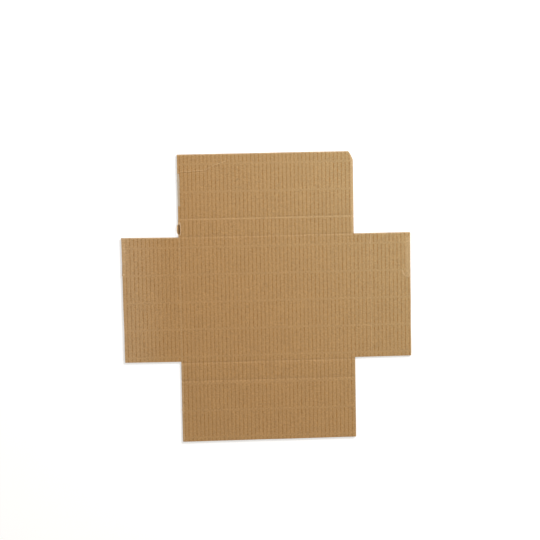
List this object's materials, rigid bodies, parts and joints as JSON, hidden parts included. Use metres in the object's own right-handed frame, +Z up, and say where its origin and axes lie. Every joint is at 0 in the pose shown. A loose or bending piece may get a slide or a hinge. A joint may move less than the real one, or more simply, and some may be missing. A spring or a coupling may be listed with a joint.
{
  "type": "flattened cardboard box",
  "caption": "Cross-shaped corrugated box blank laid open and flat, with a middle panel, a flap on every side and spine creases",
  "frame": {"origin": "The middle of the underside, half way along both overall lengths, on the surface that the blank lies on", "axes": "+X across the flutes towards the right side flap, +Y along the flutes towards the top flap, +Z up out of the creased face"},
  "size_m": [0.396, 0.3962, 0.003],
  "materials": {
    "corrugated_board": "uncoated brown kraft liner over flutes, matt"
  },
  "bodies": {
    "root": {"box_blank": "corrugated_board"}
  },
  "joints": []
}
